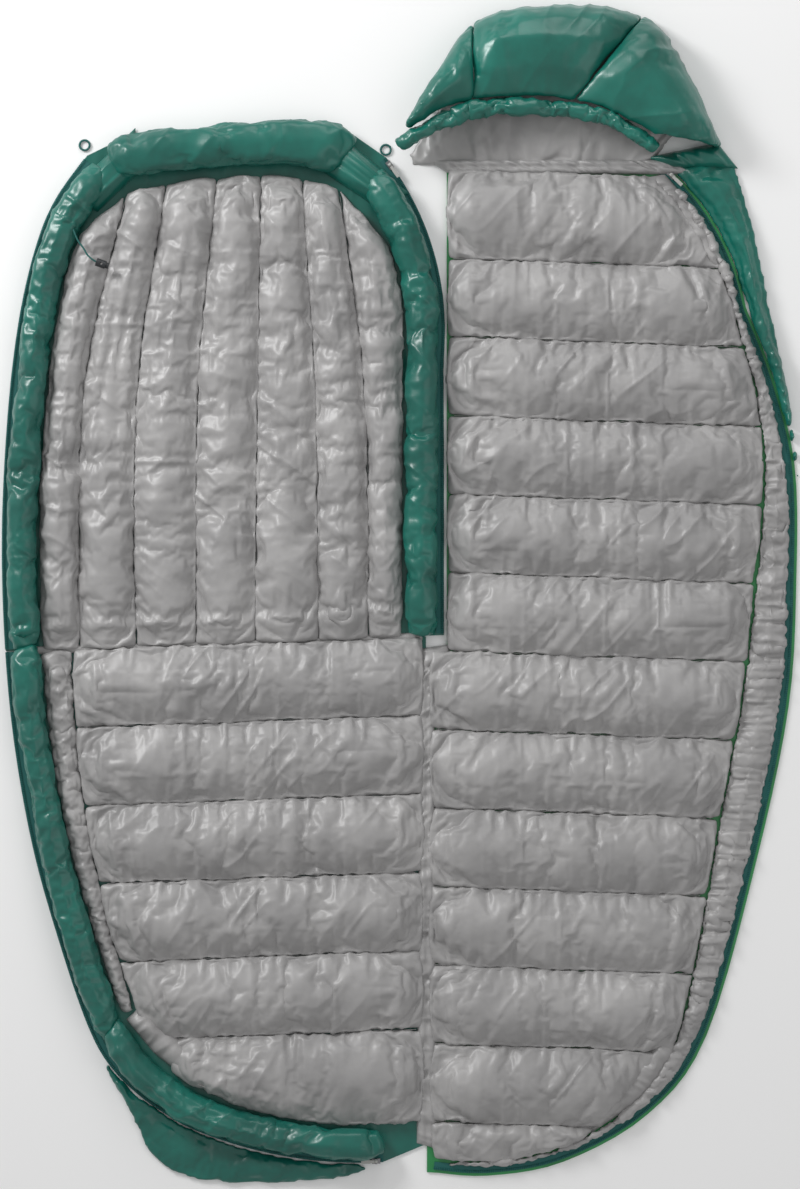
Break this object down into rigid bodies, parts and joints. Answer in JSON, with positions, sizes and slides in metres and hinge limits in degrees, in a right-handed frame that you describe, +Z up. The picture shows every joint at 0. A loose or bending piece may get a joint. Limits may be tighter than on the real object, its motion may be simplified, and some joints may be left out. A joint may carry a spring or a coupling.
{
  "type": "hooded camp quilt",
  "caption": "Insulated mummy sleeping quilt with hood, unzipped and opened flat, liner up, with down baffles, draft tubes and zips.",
  "frame": {"origin": "centre of the footprint on the ground", "axes": "+Y from the foot to the hood, +Z up, liner side up, +X towards the back half and its zip"},
  "size_m": [1.3904, 2.0523, 0.088],
  "materials": {
    "liner_fabric": "satin",
    "shell_fabric": "satin",
    "under_fabric": "satin",
    "baffle_mesh": "matt",
    "zip_nylon": "matt",
    "slider_metal": "satin",
    "pull_nylon": "satin",
    "lock_plastic": "satin",
    "spring_steel": "bright",
    "cord_fabric": "matt"
  },
  "bodies": {
    "back_panel": {"back_shell": "under_fabric", "back_chamber_01": "liner_fabric", "back_chamber_02": "liner_fabric", "back_chamber_03": "liner_fabric", "back_chamber_04": "liner_fabric", "back_chamber_05": "liner_fabric", "back_chamber_06": "liner_fabric", "back_chamber_07": "liner_fabric", "back_chamber_08": "liner_fabric", "back_chamber_09": "liner_fabric", "back_chamber_10": "liner_fabric", "back_chamber_11": "liner_fabric", "back_chamber_12": "liner_fabric", "back_chamber_13": "liner_fabric", "back_baffle_walls": "baffle_mesh", "zip_facing_strip": "liner_fabric", "main_zip_chain": "zip_nylon", "hood_side_flap": "shell_fabric"},
    "hood": {"hood_liner": "liner_fabric", "hood_panel_left": "shell_fabric", "hood_panel_crown": "shell_fabric", "hood_panel_right": "shell_fabric", "hood_rim_tube": "shell_fabric"},
    "front_lower": {"front_shell": "shell_fabric", "front_chamber_01": "liner_fabric", "front_chamber_02": "liner_fabric", "front_chamber_03": "liner_fabric", "front_chamber_04": "liner_fabric", "front_chamber_05": "liner_fabric", "front_chamber_06": "liner_fabric", "front_baffle_walls": "baffle_mesh", "front_facing_strip": "liner_fabric", "left_draft_tube_lower": "shell_fabric", "foot_draft_tube": "shell_fabric", "foot_box": "shell_fabric", "front_zip_chain": "zip_nylon"},
    "chest_panel": {"chest_shell": "shell_fabric", "chest_chamber_1": "liner_fabric", "chest_chamber_2": "liner_fabric", "chest_chamber_3": "liner_fabric", "chest_chamber_4": "liner_fabric", "chest_chamber_5": "liner_fabric", "chest_chamber_6": "liner_fabric", "chest_chamber_7": "liner_fabric", "chest_baffle_walls": "baffle_mesh", "collar_tube": "shell_fabric", "left_draft_tube_upper": "shell_fabric", "right_draft_tube": "shell_fabric", "chest_zip_chains": "zip_nylon", "hang_loops": "cord_fabric", "cord_lock_barrel": "lock_plastic", "cord_lock_spring": "spring_steel", "neck_cord": "cord_fabric"},
    "main_zip_slider": {"main_zip_slider": "slider_metal"},
    "main_zip_pull": {"main_zip_pull": "pull_nylon"},
    "foot_zip_slider": {"foot_zip_slider": "slider_metal"},
    "foot_zip_pull": {"foot_zip_pull": "pull_nylon"},
    "vent_zip_slider": {"vent_zip_slider": "slider_metal"},
    "vent_zip_pull": {"vent_zip_pull": "pull_nylon"},
    "cord_lock_plunger": {"cord_lock_plunger": "lock_plastic"}
  },
  "joints": [
    {"name": "panel_fold", "type": "hinge", "parent": "back_panel", "child": "front_lower", "pos_m": [0.0802, 0, 0.0504], "axis": [0, 1, 0], "range_deg": [0, 165]},
    {"name": "chest_flap", "type": "hinge", "parent": "front_lower", "child": "chest_panel", "pos_m": [0.0432, -0.0729, 0.0504], "axis": [-0.9993, -0.0366, 0], "range_deg": [-168, 0]},
    {"name": "hood_fold", "type": "hinge", "parent": "back_panel", "child": "hood", "pos_m": [0.2232, 0.7481, 0.0504], "axis": [-1, 0, 0], "range_deg": [-75, 0]},
    {"name": "main_zip_travel", "type": "hinge", "parent": "back_panel", "child": "main_zip_slider", "pos_m": [0.17712, 0.42568, 0], "axis": [0, 0, -1], "range_deg": [0, 30.53]},
    {"name": "main_zip_pull_swing", "type": "hinge", "parent": "main_zip_slider", "child": "main_zip_pull", "pos_m": [0.4727, 0.73165, 0.01265], "axis": [-0.6948, -0.7192, 0], "range_deg": [0, 115]},
    {"name": "foot_zip_travel", "type": "hinge", "parent": "front_lower", "child": "foot_zip_slider", "pos_m": [-0.07153, -0.24546, 0], "axis": [0, 0, -1], "range_deg": [0, 23.7]},
    {"name": "foot_zip_pull_swing", "type": "hinge", "parent": "foot_zip_slider", "child": "foot_zip_pull", "pos_m": [-0.04178, -0.98864, 0.01265], "axis": [-0.04, 0.9992, 0], "range_deg": [0, 115]},
    {"name": "vent_zip_travel", "type": "hinge", "parent": "chest_panel", "child": "vent_zip_slider", "pos_m": [-0.41379, 0.46165, 0], "axis": [0, 0, -1], "range_deg": [0, 37.34]},
    {"name": "vent_zip_pull_swing", "type": "hinge", "parent": "vent_zip_slider", "child": "vent_zip_pull", "pos_m": [-0.01781, 0.74909, 0.01265], "axis": [-0.8093, -0.5875, 0], "range_deg": [0, 115]},
    {"name": "cord_lock_press", "type": "slide", "parent": "chest_panel", "child": "cord_lock_plunger", "axis": [-0.9397, 0.342, 0], "range_m": [0, 0.004], "stiffness_N_per_m": 600, "springref_m": -0.001, "deforming": ["cord_lock_spring"]}
  ]
}
